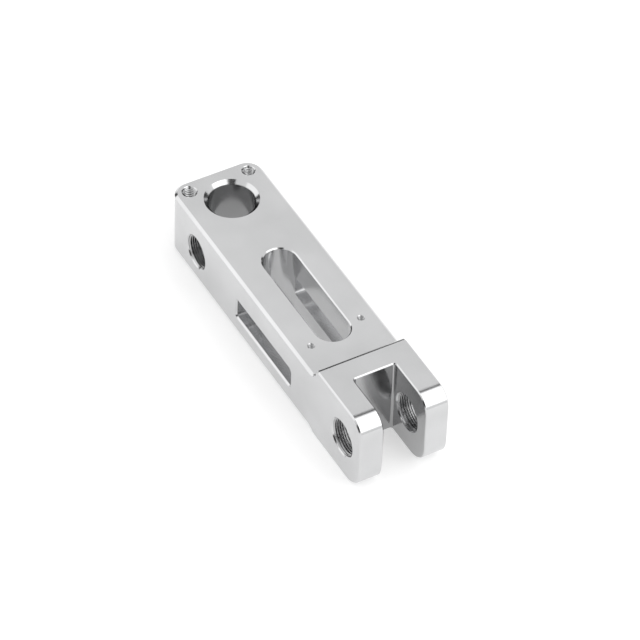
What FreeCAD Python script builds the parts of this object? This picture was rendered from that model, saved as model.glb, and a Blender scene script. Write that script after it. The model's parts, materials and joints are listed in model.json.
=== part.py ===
"""Machined aluminium clevis link: an eye end, a slotted body and a forked end, cut from one bar.

Millimetres.  The origin is on the eye-bore axis at half the body thickness.
+X runs from the eye to the fork, +Z is up along the bore, +Y is across the width.
"""
import math
import os

import FreeCAD
import Part

Vector = FreeCAD.Vector

# Bar and body
length = 160.0                 # eye-end face to fork-end face
width = 40.0
body_thickness = 30.0
body_chamfer = 1.1             # long edges of the body and round the eye end
eye_end_distance = 17.5        # eye-end face to the bore axis
eye_corner_radius = 7.0        # upright corners of the eye end

# Smooth bore through the eye
bore_diameter = 20.0
bore_chamfer = 1.6

# Fork block
fork_length = 39.7             # fork-end face to the foot of the step in the top
fork_rise = 5.7                # fork top above the body top
fork_drop = 1.2                # fork underside below the body underside
step_fillet = 2.7              # hollow radius at the foot of the top step
step_round = 3.0               # round radius at the head of the top step
lower_step_fillet = 2.2
lower_step_round = 2.0
ear_top_radius = 8.0
ear_bottom_radius = 10.0
fork_chamfer = 0.6             # outer edges of the fork block

# Gap between the ears
gap_width = 19.0
gap_depth = 25.0               # fork-end face to the root of the gap
gap_corner_radius = 1.2        # upright corners at the root
gap_edge_break = 0.5

# Fine-threaded holes through the ears, at half the fork height
ear_hole_distance = 14.5       # fork-end face to the hole axis
ear_thread_diameter = 16.0
ear_countersink_diameter = 17.3

# Fine-threaded cross hole from the front face into the bore
cross_hole_offset = 6.7        # beyond the bore axis
cross_hole_drop = 1.0          # below half the body thickness
cross_thread_diameter = 15.0
cross_countersink_diameter = 15.9
cross_hole_depth = 13.0

# Upright slot through the body
slot_width = 14.8
slot_eye_distance = 51.4       # eye-end face to the nearer round end
slot_step_distance = 11.3      # farther round end to the foot of the step
slot_edge_break = 0.5

# Window through the sides, crossing the slot
window_eye_distance = 58.5     # eye-end face to the nearer end wall
window_step_distance = 16.4    # farther end wall to the foot of the step
window_height = 9.5
window_floor_height = 7.7      # above the body underside
window_corner_radius = 1.6
window_edge_break = 0.7

# Threaded holes in the top at the eye end
front_screw_diameter = 6.0
front_screw_drill = 5.0
front_screw_countersink = 6.7
front_screw_depth = 12.0
front_screw_end_distance = 6.0
front_screw_side_distance = 6.5
back_screw_diameter = 5.0
back_screw_drill = 4.2
back_screw_countersink = 5.9
back_screw_depth = 10.0
back_screw_end_distance = 6.0
back_screw_side_distance = 6.0

# Small threaded holes in the top beside the fork end of the slot
pin_screw_diameter = 3.0
pin_screw_drill = 2.5
pin_screw_countersink = 3.2
pin_screw_depth = 6.0
front_pin_step_distance = 13.8 # hole to the foot of the step
front_pin_side_distance = 7.6
back_pin_step_distance = 18.3
back_pin_side_distance = 7.1

drill_point_angle = 118.0

# Planes that the features hang from
eye_end = -eye_end_distance
fork_end = eye_end + length
side = width / 2
body_top = body_thickness / 2
body_bottom = -body_thickness / 2
fork_top = body_top + fork_rise
fork_bottom = body_bottom - fork_drop
fork_middle = (fork_top + fork_bottom) / 2
step_foot = fork_end - fork_length
gap_root = fork_end - gap_depth
gap_side = gap_width / 2
slot_start = eye_end + slot_eye_distance
slot_length = step_foot - slot_step_distance - slot_start
window_start = eye_end + window_eye_distance
window_length = step_foot - window_step_distance - window_start
overrun = 1.0


def inside(solid, low, high):
    """Edges of a solid that lie wholly in the box between two corners."""
    box = FreeCAD.BoundBox(*low, *high)
    box.enlarge(1e-4)
    return [edge for edge in solid.Edges if box.isInside(edge.BoundBox)]


def arc_through(start, middle, end):
    return Part.Arc(start, middle, end).toShape()


def step_edges(foot, level, rise, fillet, rounding):
    """Two arcs, and a straight riser when the rise is taller than both, stepping away from the body.

    A negative rise steps downward.  Returns the edges and the X where the fork's flat starts.
    """
    up = 1 if rise > 0 else -1
    turn = math.acos(max(0.0, 1 - abs(rise) / (fillet + rounding)))
    riser = max(0.0, abs(rise) - fillet - rounding)

    def hollow(angle):
        return Vector(foot + fillet * math.sin(angle), -side, level + up * fillet * (1 - math.cos(angle)))

    flat_start = foot + (fillet + rounding) * math.sin(turn)
    crown = level + rise

    def crest(angle):
        return Vector(flat_start - rounding * math.sin(angle), -side,
                      crown - up * rounding * (1 - math.cos(angle)))

    edges = [arc_through(hollow(0), hollow(turn / 2), hollow(turn))]
    if riser > 0:
        edges.append(Part.makeLine(hollow(turn), crest(turn)))
    edges.append(arc_through(crest(turn), crest(turn / 2), crest(0)))
    return edges, flat_start


def corner_arc(centre_x, centre_z, radius, from_angle, to_angle):
    def at(angle):
        turn = math.radians(angle)
        return Vector(centre_x + radius * math.cos(turn), -side, centre_z + radius * math.sin(turn))

    return arc_through(at(from_angle), at((from_angle + to_angle) / 2), at(to_angle))


def body_block():
    """Eye end and slotted body: a bar with two rounded upright corners and chamfered rims."""
    block = Part.makeBox(step_foot - eye_end, width, body_thickness, Vector(eye_end, -side, body_bottom))
    corners = [edge for edge in inside(block, (eye_end, -side, body_bottom), (eye_end, side, body_top))
               if edge.BoundBox.ZLength > 1]
    block = block.makeFillet(eye_corner_radius, corners)
    rims = [edge for edge in block.Edges
            if edge.BoundBox.ZLength < 1e-6 and edge.BoundBox.XMin < step_foot - 1]
    return block.makeChamfer(body_chamfer, rims)


def fork_block():
    """Fork end before the gap: the side outline with its steps and rounded ends, pushed across."""
    upper, upper_flat = step_edges(step_foot, body_top, fork_rise, step_fillet, step_round)
    lower, lower_flat = step_edges(step_foot, body_bottom, -fork_drop, lower_step_fillet, lower_step_round)
    top_bend = fork_end - ear_top_radius
    bottom_bend = fork_end - ear_bottom_radius
    top_arc_low = fork_top - ear_top_radius
    bottom_arc_high = fork_bottom + ear_bottom_radius
    outline = list(upper)
    outline.append(Part.makeLine(Vector(upper_flat, -side, fork_top), Vector(top_bend, -side, fork_top)))
    outline.append(corner_arc(top_bend, top_arc_low, ear_top_radius, 90, 0))
    outline.append(Part.makeLine(Vector(fork_end, -side, top_arc_low),
                                 Vector(fork_end, -side, bottom_arc_high)))
    outline.append(corner_arc(bottom_bend, bottom_arc_high, ear_bottom_radius, 0, -90))
    outline.append(Part.makeLine(Vector(bottom_bend, -side, fork_bottom),
                                 Vector(lower_flat, -side, fork_bottom)))
    outline += reversed(lower)
    outline.append(Part.makeLine(Vector(step_foot, -side, body_bottom), Vector(step_foot, -side, body_top)))
    wire = Part.Wire(Part.__sortEdges__(outline))
    block = Part.Face(wire).extrude(Vector(0, width, 0))
    rims = [edge for edge in block.Edges
            if edge.BoundBox.YLength < 1e-6 and edge.BoundBox.XMax > step_foot + 1e-4]
    return block.makeChamfer(fork_chamfer, rims)


def gap_tool():
    tool = Part.makeBox(gap_depth + overrun, gap_width, fork_top - fork_bottom + 2 * overrun,
                        Vector(gap_root, -gap_side, fork_bottom - overrun))
    corners = [edge for edge in tool.Edges
               if edge.BoundBox.ZLength > 1 and edge.BoundBox.XMax < gap_root + 1e-4]
    return tool.makeFillet(gap_corner_radius, corners)


def broken_gap_edges(part):
    """Chamfer every edge where the gap's walls meet the outside of the fork."""
    rims = []
    for edge in inside(part, (gap_root, -gap_side, fork_bottom), (fork_end, gap_side, fork_top)):
        box = edge.BoundBox
        on_flat = box.ZLength < 1e-6 and (box.ZMin > fork_top - 1e-4 or box.ZMax < fork_bottom + 1e-4)
        on_nose = box.YLength < 1e-6 and box.XMax > fork_end - 1e-4
        if on_flat or on_nose:
            rims.append(edge)
    return part.makeChamfer(gap_edge_break, rims)


def turned_tool(profile, start, axis):
    """Solid of revolution: profile points are (radius, distance along the axis from start)."""
    points = [Vector(0, 0, profile[0][1])]
    points += [Vector(radius, 0, depth) for radius, depth in profile]
    points.append(Vector(0, 0, profile[-1][1]))
    points.append(points[0])
    section = Part.Face(Part.makePolygon(points))
    solid = section.revolve(Vector(0, 0, 0), Vector(0, 0, 1), 360)
    solid.Placement = FreeCAD.Placement(start, FreeCAD.Rotation(Vector(0, 0, 1), axis))
    return solid


def countersunk_profile(diameter, countersink, length_along):
    """Straight hole with a 45-degree countersink at each end."""
    sink = (countersink - diameter) / 2
    return [(countersink / 2 + overrun, -overrun), (countersink / 2, 0), (diameter / 2, sink),
            (diameter / 2, length_along - sink), (countersink / 2, length_along),
            (countersink / 2 + overrun, length_along + overrun)]


def blind_screw_profile(diameter, drill, countersink, depth):
    """Countersunk tapped length, then the rest of the drilled hole and its pointed end."""
    sink = (countersink - diameter) / 2
    lip = (diameter - drill) / 2
    drilled = depth + drill / 2
    point = drill / 2 / math.tan(math.radians(drill_point_angle / 2))
    return [(countersink / 2 + overrun, -overrun), (countersink / 2, 0), (diameter / 2, sink),
            (diameter / 2, depth), (drill / 2, depth + lip), (drill / 2, drilled), (0, drilled + point)]


def bore_tool():
    profile = countersunk_profile(bore_diameter, bore_diameter + 2 * bore_chamfer, body_thickness)
    return turned_tool(profile, Vector(0, 0, body_bottom), Vector(0, 0, 1))


def ear_hole_tools():
    profile = countersunk_profile(ear_thread_diameter, ear_countersink_diameter, side - gap_side)
    at_x = fork_end - ear_hole_distance
    front = turned_tool(profile, Vector(at_x, -side, fork_middle), Vector(0, 1, 0))
    back = turned_tool(profile, Vector(at_x, side, fork_middle), Vector(0, -1, 0))
    return [front, back]


def cross_hole_tool():
    sink = (cross_countersink_diameter - cross_thread_diameter) / 2
    radius = cross_thread_diameter / 2
    point = radius / math.tan(math.radians(drill_point_angle / 2))
    profile = [(cross_countersink_diameter / 2 + overrun, -overrun), (cross_countersink_diameter / 2, 0),
               (radius, sink), (radius, cross_hole_depth), (0, cross_hole_depth + point)]
    return turned_tool(profile, Vector(cross_hole_offset, -side, -cross_hole_drop), Vector(0, 1, 0))


def top_screw_tools():
    front_screw = blind_screw_profile(front_screw_diameter, front_screw_drill,
                                      front_screw_countersink, front_screw_depth)
    back_screw = blind_screw_profile(back_screw_diameter, back_screw_drill,
                                     back_screw_countersink, back_screw_depth)
    pin_screw = blind_screw_profile(pin_screw_diameter, pin_screw_drill,
                                    pin_screw_countersink, pin_screw_depth)
    down = Vector(0, 0, -1)
    return [
        turned_tool(front_screw, Vector(eye_end + front_screw_end_distance,
                                        front_screw_side_distance - side, body_top), down),
        turned_tool(back_screw, Vector(eye_end + back_screw_end_distance,
                                       side - back_screw_side_distance, body_top), down),
        turned_tool(pin_screw, Vector(step_foot - front_pin_step_distance,
                                      front_pin_side_distance - side, body_top), down),
        turned_tool(pin_screw, Vector(step_foot - back_pin_step_distance,
                                      side - back_pin_side_distance, body_top), down),
    ]


def slot_cut(part):
    """Round-ended slot right through, with its rims broken."""
    tool = Part.makeBox(slot_length, slot_width, body_thickness + 2 * overrun,
                        Vector(slot_start, -slot_width / 2, body_bottom - overrun))
    corners = [edge for edge in tool.Edges if edge.BoundBox.ZLength > 1]
    tool = tool.makeFillet(slot_width / 2 - 1e-3, corners)
    part = part.cut(tool)
    rims = []
    for level in (body_top, body_bottom):
        rims += inside(part, (slot_start, -slot_width / 2, level),
                       (slot_start + slot_length, slot_width / 2, level))
    return part.makeChamfer(slot_edge_break, rims)


def window_cut(part):
    """Square-ended window from side to side, with small corner radii and broken rims."""
    floor = body_bottom + window_floor_height
    tool = Part.makeBox(window_length, width + 2 * overrun, window_height,
                        Vector(window_start, -side - overrun, floor))
    corners = [edge for edge in tool.Edges if edge.BoundBox.YLength > 1]
    tool = tool.makeFillet(window_corner_radius, corners)
    part = part.cut(tool)
    rims = []
    for across in (-side, side):
        rims += inside(part, (window_start, across, floor),
                       (window_start + window_length, across, floor + window_height))
    return part.makeChamfer(window_edge_break, rims)


def link():
    part = body_block().fuse(fork_block()).removeSplitter()
    part = broken_gap_edges(part.cut(gap_tool()))
    part = slot_cut(part)
    part = window_cut(part)
    tools = [bore_tool(), cross_hole_tool()] + ear_hole_tools() + top_screw_tools()
    part = part.cut(tools)
    return part.removeSplitter()


os.makedirs("parts", exist_ok=True)
clevis_link = link()
if clevis_link.ShapeType != "Solid":
    clevis_link = clevis_link.Solids[0]
clevis_link.exportStep("parts/clevis_link.step")
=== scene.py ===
"""Studio picture of a machined aluminium clevis link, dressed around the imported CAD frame."""
import json
import math

import bpy
from mathutils import Matrix, Vector


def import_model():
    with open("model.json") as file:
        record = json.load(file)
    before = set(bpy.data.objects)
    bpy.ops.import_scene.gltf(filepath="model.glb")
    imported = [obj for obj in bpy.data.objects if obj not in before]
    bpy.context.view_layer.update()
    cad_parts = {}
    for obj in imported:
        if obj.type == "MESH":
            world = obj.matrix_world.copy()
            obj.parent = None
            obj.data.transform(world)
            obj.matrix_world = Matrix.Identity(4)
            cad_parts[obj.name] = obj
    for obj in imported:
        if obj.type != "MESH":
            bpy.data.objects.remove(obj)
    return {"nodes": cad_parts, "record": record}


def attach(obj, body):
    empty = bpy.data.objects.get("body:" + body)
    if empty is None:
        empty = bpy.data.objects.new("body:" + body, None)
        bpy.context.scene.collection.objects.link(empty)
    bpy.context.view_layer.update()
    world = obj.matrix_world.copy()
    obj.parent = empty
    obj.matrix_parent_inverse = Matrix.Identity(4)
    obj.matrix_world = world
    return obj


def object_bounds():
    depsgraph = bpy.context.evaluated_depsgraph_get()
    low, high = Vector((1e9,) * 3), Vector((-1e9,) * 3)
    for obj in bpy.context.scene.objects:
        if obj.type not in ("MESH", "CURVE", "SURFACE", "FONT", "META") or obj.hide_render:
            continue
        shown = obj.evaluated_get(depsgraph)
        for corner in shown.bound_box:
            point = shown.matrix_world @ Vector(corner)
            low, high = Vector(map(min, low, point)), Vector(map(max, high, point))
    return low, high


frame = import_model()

MM = 0.001
cad_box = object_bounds()
link = frame["nodes"]["clevis_link"]
record = frame["record"]

# Camera, from the photograph's viewing angle
VIEW_AZIMUTH = 59.16
VIEW_ELEVATION = 45.2
VIEW_ROLL = 2.3
VIEW_DISTANCE = 1.849
VIEW_LENS = 258.55
AIM = Vector((0.06938, 0.00292, 0.00488))

# Metal; colours are linear and the painted shade inside the bore and between the ears multiplies them
MILLED_COLOUR = (0.605, 0.607, 0.612)
MILLED_ROUGHNESS = 0.16
TAPPED_COLOUR = (0.42, 0.422, 0.426)
TAPPED_ROUGHNESS = 0.16
ROUGHNESS_SPREAD = 0.03
GRAIN_PER_METRE = (300, 2500, 2500)
GRAIN_HEIGHT = 0.1 * MM
# Painted shade: the metal colour is multiplied by this inside the bore and between the ears, as if in
# shadow
INNER_PAINTED_SHADE = 0.7              # inside the bore and between the ears
MOTTLE_PER_METRE = 38.0
MOTTLE_DARKEST = 0.93
MOTTLE_LIGHTEST = 1.04

# Gap between the ears
GAP_HALF = 9.5 * MM
GAP_ROOT = 117.5 * MM

# How far the painted shade reaches past the bore, the root of the gap and the ears, and its soft edge
BORE_MARGIN = 0.2 * MM
ROOT_MARGIN = 0.2 * MM
EAR_MARGIN = 0.15 * MM
SHADE_EDGE = 0.1 * MM

# Threads: crest radius, countersink radius and pitch in millimetres, after the mount for the top ones
EAR_THREAD = (7.46, 8.65, 1.0)
CROSS_THREAD = (6.96, 7.95, 1.0)
TOP_THREADS = (("front_corner_screw", 2.46, 3.35, 1.0),
               ("back_corner_screw", 2.07, 2.95, 0.8),
               ("front_pin_screw", 1.23, 1.6, 0.5),
               ("back_pin_screw", 1.23, 1.6, 0.5))
CROSS_THREAD_RUN = 9.9 * MM    # the hole breaks into the bore just past this depth
THREAD_SINK = 0.04 * MM        # how far a ridge's foot stands inside the wall
THREAD_INSET = 0.52            # pitches from each end of a hole to the ridge's middle
CREST_HALF = 0.07              # half the crest's width, in pitches
STEPS_A_TURN = 72

# Light
FLOOR_COLOUR = (0.7, 0.7, 0.7)
FLOOR_GLOW = 0.4
FLOOR_RADIUS = 3.0
WORLD_STRENGTH = 0.9           # on matt surfaces; the camera and mirrored rays see 1
CARD_SHADE = 0.05


def spherical(azimuth, elevation):
    """Unit vector from the part towards an azimuth and elevation; azimuth 0 is -Y and 90 is +X."""
    a = math.radians(azimuth)
    e = math.radians(elevation)
    return Vector((math.sin(a) * math.cos(e), -math.cos(a) * math.cos(e), math.sin(e)))


def basis(back, roll):
    """Rotation matrix of a camera or lamp that looks against a direction, rolled about it."""
    right = Vector((0, 0, 1)).cross(back).normalized()
    up = back.cross(right)
    turn = math.radians(roll)
    rolled_right = right * math.cos(turn) + up * math.sin(turn)
    rolled_up = up * math.cos(turn) - right * math.sin(turn)
    return Matrix((rolled_right, rolled_up, back)).transposed()


class Nodes:
    """Short way to build a node tree."""

    def __init__(self, tree):
        self.tree = tree
        tree.nodes.clear()

    def add(self, kind, settings=None, **inputs):
        node = self.tree.nodes.new(kind)
        for name, value in (settings or {}).items():
            setattr(node, name, value)
        for name, value in inputs.items():
            self.feed(node, name.replace("_", " "), value)
        return node

    def feed(self, node, name, value):
        socket = node.inputs[int(name)] if name.isdigit() else node.inputs[name]
        if isinstance(value, bpy.types.NodeSocket):
            self.tree.links.new(value, socket)
        else:
            socket.default_value = value

    def combine(self, operation, first, second):
        """One number from two, by a maths node."""
        node = self.add("ShaderNodeMath", {"operation": operation})
        self.feed(node, "0", first)
        self.feed(node, "1", second)
        return node.outputs[0]


def mount(name):
    return next(m for m in record["mounts"] if m["name"] == name)


def above(n, coordinate, level):
    """1 above a value of a coordinate in metres and 0 below it, with a soft edge."""
    ramp = n.add("ShaderNodeMapRange", Value=coordinate, From_Min=level - SHADE_EDGE,
                 From_Max=level + SHADE_EDGE)
    return ramp.outputs["Result"]


def below(n, coordinate, level):
    """1 below a value of a coordinate in metres and 0 above it, with a soft edge."""
    ramp = n.add("ShaderNodeMapRange", Value=coordinate, From_Min=level + SHADE_EDGE,
                 From_Max=level - SHADE_EDGE)
    return ramp.outputs["Result"]


def painted_shade_and_mottle(n, place):
    """Painted shade inside the bore and between the ears, darkening them as if in shadow, and faint
    mottling all over.
    """
    split = n.add("ShaderNodeSeparateXYZ", Vector=place)
    flat = n.add("ShaderNodeVectorMath", {"operation": "MULTIPLY"})
    n.feed(flat, "0", place)
    n.feed(flat, "1", (1, 1, 0))
    reach = n.add("ShaderNodeVectorMath", {"operation": "LENGTH"})
    n.feed(reach, "0", flat.outputs["Vector"])
    bore_radius = mount("eye_bore")["dims"]["r_mm"] * MM
    in_bore = below(n, reach.outputs["Value"], bore_radius + BORE_MARGIN)
    across = n.combine("MULTIPLY", above(n, split.outputs["Y"], -GAP_HALF - EAR_MARGIN),
                       below(n, split.outputs["Y"], GAP_HALF + EAR_MARGIN))
    in_gap = n.combine("MULTIPLY", above(n, split.outputs["X"], GAP_ROOT - ROOT_MARGIN), across)
    # Painted shade mask: 1 inside the bore and in the gap between the ears, where the colour is
    # darkened as if in shadow
    painted_shade_mask = n.combine("MAXIMUM", in_bore, in_gap)
    noise = n.add("ShaderNodeTexNoise", Scale=MOTTLE_PER_METRE, Detail=2.0, Vector=place)
    mottle = n.add("ShaderNodeMapRange", Value=noise.outputs["Fac"], From_Min=0.3, From_Max=0.7,
                   To_Min=MOTTLE_DARKEST, To_Max=MOTTLE_LIGHTEST)
    shade = n.add("ShaderNodeMapRange", Value=painted_shade_mask, To_Min=1.0, To_Max=INNER_PAINTED_SHADE)
    return n.combine("MULTIPLY", mottle.outputs["Result"], shade.outputs["Result"])


def aluminium(name, colour, roughness):
    """Bare cut aluminium: faint cutter marks in the roughness and the surface."""
    material = bpy.data.materials.new(name)
    material.use_nodes = True
    n = Nodes(material.node_tree)
    place = n.add("ShaderNodeTexCoord")
    stretched = n.add("ShaderNodeMapping", Scale=GRAIN_PER_METRE)
    n.feed(stretched, "Vector", place.outputs["Object"])
    grain = n.add("ShaderNodeTexNoise", Scale=1.0, Detail=3.0, Vector=stretched.outputs["Vector"])
    rough = n.add("ShaderNodeMapRange", To_Min=roughness - ROUGHNESS_SPREAD,
                  To_Max=roughness + ROUGHNESS_SPREAD, Value=grain.outputs["Fac"])
    bump = n.add("ShaderNodeBump", Strength=0.05, Distance=GRAIN_HEIGHT, Height=grain.outputs["Fac"])
    tint = n.add("ShaderNodeVectorMath", {"operation": "SCALE"})
    n.feed(tint, "0", colour)
    n.feed(tint, "Scale", painted_shade_and_mottle(n, place.outputs["Object"]))
    shader = n.add("ShaderNodeBsdfPrincipled", Base_Color=tint.outputs["Vector"], Metallic=1.0,
                   Roughness=rough.outputs["Result"], Normal=bump.outputs["Normal"])
    out = n.add("ShaderNodeOutputMaterial")
    n.feed(out, "Surface", shader.outputs["BSDF"])
    return material


def dress_link():
    """Milled finish on the whole part."""
    milled = aluminium("aluminium", MILLED_COLOUR, MILLED_ROUGHNESS)
    for slot in link.material_slots:
        slot.material = milled


def ridge_faces(steps):
    """Faces of a ridge of four-sided sections, closed at both ends."""
    faces = [(3, 2, 1, 0)]
    for step in range(steps):
        start = step * 4
        for k in range(4):
            following = (k + 1) % 4
            faces.append((start + k, start + following, start + 4 + following, start + 4 + k))
    last = steps * 4
    faces.append((last, last + 1, last + 2, last + 3))
    return faces


def thread(name, mouth, inward, major, sizes, length, metal, open_end=False):
    """Helical ridge that stands inward from a hole's wall, between its mouth and a length along it.

    Sizes are crest radius, countersink radius and pitch.  The crest follows the countersink at the
    mouth, and at the far end too if that end is open.
    """
    minor, mouth_radius, pitch = [size * MM for size in sizes]
    depth_from = THREAD_INSET * pitch
    depth_to = length - THREAD_INSET * pitch
    count = int((depth_to - depth_from) / pitch * STEPS_A_TURN)
    side = inward.orthogonal().normalized()
    other = inward.cross(side)
    root = major + THREAD_SINK
    profile = [(root, -0.5), (minor, -CREST_HALF), (minor, CREST_HALF), (root, 0.5)]

    def crest_limit(depth):
        limit = mouth_radius - depth
        if open_end:
            limit = max(limit, mouth_radius - (length - depth))
        return limit

    vertices = []
    for step in range(count + 1):
        angle = 2 * math.pi * step / STEPS_A_TURN
        depth = depth_from + pitch * step / STEPS_A_TURN
        out = side * math.cos(angle) + other * math.sin(angle)
        for radius, along in profile:
            here = depth + along * pitch
            radius = min(root, max(radius, crest_limit(here)))
            vertices.append(mouth + inward * here + out * radius)
    mesh = bpy.data.meshes.new(name)
    mesh.from_pydata([tuple(v) for v in vertices], [], ridge_faces(count))
    mesh.validate()
    piece = bpy.data.objects.new(name, mesh)
    bpy.context.collection.objects.link(piece)
    mesh.materials.append(metal)
    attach(piece, "root")


def threads(metal):
    """Thread crests in the tapped holes, placed from the record's mounts."""
    half_width = cad_box[1].y
    ears = mount("ear_threads")
    radius = ears["dims"]["r_mm"] * MM
    for label, sign in (("front", -1), ("back", 1)):
        mouth = Vector((ears["pos_m"][0], sign * half_width, ears["pos_m"][2]))
        thread(f"ear_thread_{label}", mouth, Vector((0, -sign, 0)), radius, EAR_THREAD,
               half_width - GAP_HALF, metal, open_end=True)
    cross = mount("cross_thread")
    mouth = Vector((cross["pos_m"][0], -half_width, cross["pos_m"][2]))
    thread("cross_thread", mouth, Vector((0, 1, 0)), cross["dims"]["r_mm"] * MM, CROSS_THREAD,
           CROSS_THREAD_RUN, metal)
    body_top = mount("body_top")["pos_m"][2]
    for name, *sizes in TOP_THREADS:
        hole = mount(name)
        mouth = Vector((hole["pos_m"][0], hole["pos_m"][1], body_top))
        thread(name + "_thread", mouth, Vector((0, 0, -1)), hole["dims"]["r_mm"] * MM, sizes,
               hole["dims"]["length_mm"] * MM, metal)


def floor(level):
    """Round pale table under the part, lit from below as well as from above."""
    mesh = bpy.data.meshes.new("floor")
    sides = 96
    ring = []
    for k in range(sides):
        turn = 2 * math.pi * k / sides
        ring.append((FLOOR_RADIUS * math.cos(turn), FLOOR_RADIUS * math.sin(turn), level))
    mesh.from_pydata(ring, [], [tuple(range(sides))])
    table = bpy.data.objects.new("floor", mesh)
    bpy.context.collection.objects.link(table)
    material = bpy.data.materials.new("floor")
    material.use_nodes = True
    n = Nodes(material.node_tree)
    shader = n.add("ShaderNodeBsdfPrincipled", Base_Color=(*FLOOR_COLOUR, 1), Roughness=0.9,
                   Emission_Color=(1, 1, 1, 1), Emission_Strength=FLOOR_GLOW)
    shader.inputs["Specular IOR Level"].default_value = 0.0
    out = n.add("ShaderNodeOutputMaterial")
    n.feed(out, "Surface", shader.outputs["BSDF"])
    mesh.materials.append(material)


def world():
    """Pale surroundings."""
    sky = bpy.data.worlds.new("studio")
    bpy.context.scene.world = sky
    sky.use_nodes = True
    n = Nodes(sky.node_tree)
    path = n.add("ShaderNodeLightPath")
    seen = n.add("ShaderNodeMath", {"operation": "MAXIMUM"})
    n.feed(seen, "0", path.outputs["Is Camera Ray"])
    n.feed(seen, "1", path.outputs["Is Glossy Ray"])
    strength = n.add("ShaderNodeMapRange", Value=seen.outputs[0], To_Min=WORLD_STRENGTH, To_Max=1.0)
    background = n.add("ShaderNodeBackground", Color=(1, 1, 1, 1), Strength=strength.outputs["Result"])
    out = n.add("ShaderNodeOutputWorld")
    n.feed(out, "Surface", background.outputs["Background"])


def softbox(name, azimuth, elevation, distance, width, height, radiance):
    """Rectangular lamp of a given brightness that faces the part."""
    lamp = bpy.data.lights.new(name, "AREA")
    lamp.shape = "RECTANGLE"
    lamp.size = width
    lamp.size_y = height
    lamp.energy = radiance * math.pi * width * height
    body = bpy.data.objects.new(name, lamp)
    bpy.context.collection.objects.link(body)
    direction = spherical(azimuth, elevation)
    body.matrix_world = Matrix.Translation(AIM + direction * distance) @ basis(direction, 0).to_4x4()
    body.visible_camera = False


def flag(name, azimuth, elevation, distance, width, height, shade=CARD_SHADE):
    """Dark card that faces the part, as a photographer uses to draw edges on bright metal."""
    direction = spherical(azimuth, elevation)
    mesh = bpy.data.meshes.new(name)
    w = width / 2
    h = height / 2
    mesh.from_pydata([(-w, -h, 0), (w, -h, 0), (w, h, 0), (-w, h, 0)], [], [(0, 1, 2, 3)])
    card = bpy.data.objects.new(name, mesh)
    bpy.context.collection.objects.link(card)
    card.matrix_world = Matrix.Translation(AIM + direction * distance) @ basis(direction, 0).to_4x4()
    material = bpy.data.materials.new(name)
    material.use_nodes = True
    n = Nodes(material.node_tree)
    shader = n.add("ShaderNodeBsdfDiffuse", Color=(shade, shade, shade, 1))
    out = n.add("ShaderNodeOutputMaterial")
    n.feed(out, "Surface", shader.outputs["BSDF"])
    mesh.materials.append(material)
    card.visible_camera = False
    card.visible_diffuse = False
    card.visible_shadow = False


def lights():
    """Lamps and cards: azimuth and elevation, distance, width and height in metres, then brightness."""
    softbox("left_softbox", -38, 28, 0.9, 0.8, 0.6, 0.45)
    softbox("right_softbox", 120, 34, 0.9, 0.8, 0.7, 1.3)
    softbox("overhead_softbox", 140, 70, 0.9, 0.6, 0.5, 1.0)
    flag("flag_back_left", -78, 2, 1.0, 0.6, 0.5)
    flag("flag_back_right", 196, 2, 1.0, 0.6, 0.5)
    flag("flag_camera", 59, 45, 1.1, 0.45, 0.45)
    flag("flag_front_left", 18, 10, 1.0, 0.5, 0.4)
    flag("flag_behind", -108, 12, 0.32, 0.34, 0.16, 0.08)
    flag("flag_high", -136, 62, 1.0, 0.3, 0.14, 0.1)


def camera():
    """Long lens at the viewing angle."""
    lens = bpy.data.cameras.new("camera")
    lens.lens = VIEW_LENS
    lens.sensor_width = 36.0
    lens.clip_start = 0.05
    lens.clip_end = 20.0
    body = bpy.data.objects.new("camera", lens)
    bpy.context.collection.objects.link(body)
    back = spherical(VIEW_AZIMUTH, VIEW_ELEVATION)
    body.matrix_world = Matrix.Translation(AIM + back * VIEW_DISTANCE) @ basis(back, VIEW_ROLL).to_4x4()
    bpy.context.scene.camera = body


dress_link()
threads(aluminium("tapped", TAPPED_COLOUR, TAPPED_ROUGHNESS))
floor(cad_box[0].z)
world()
lights()
camera()
bpy.context.scene.view_settings.view_transform = "Standard"
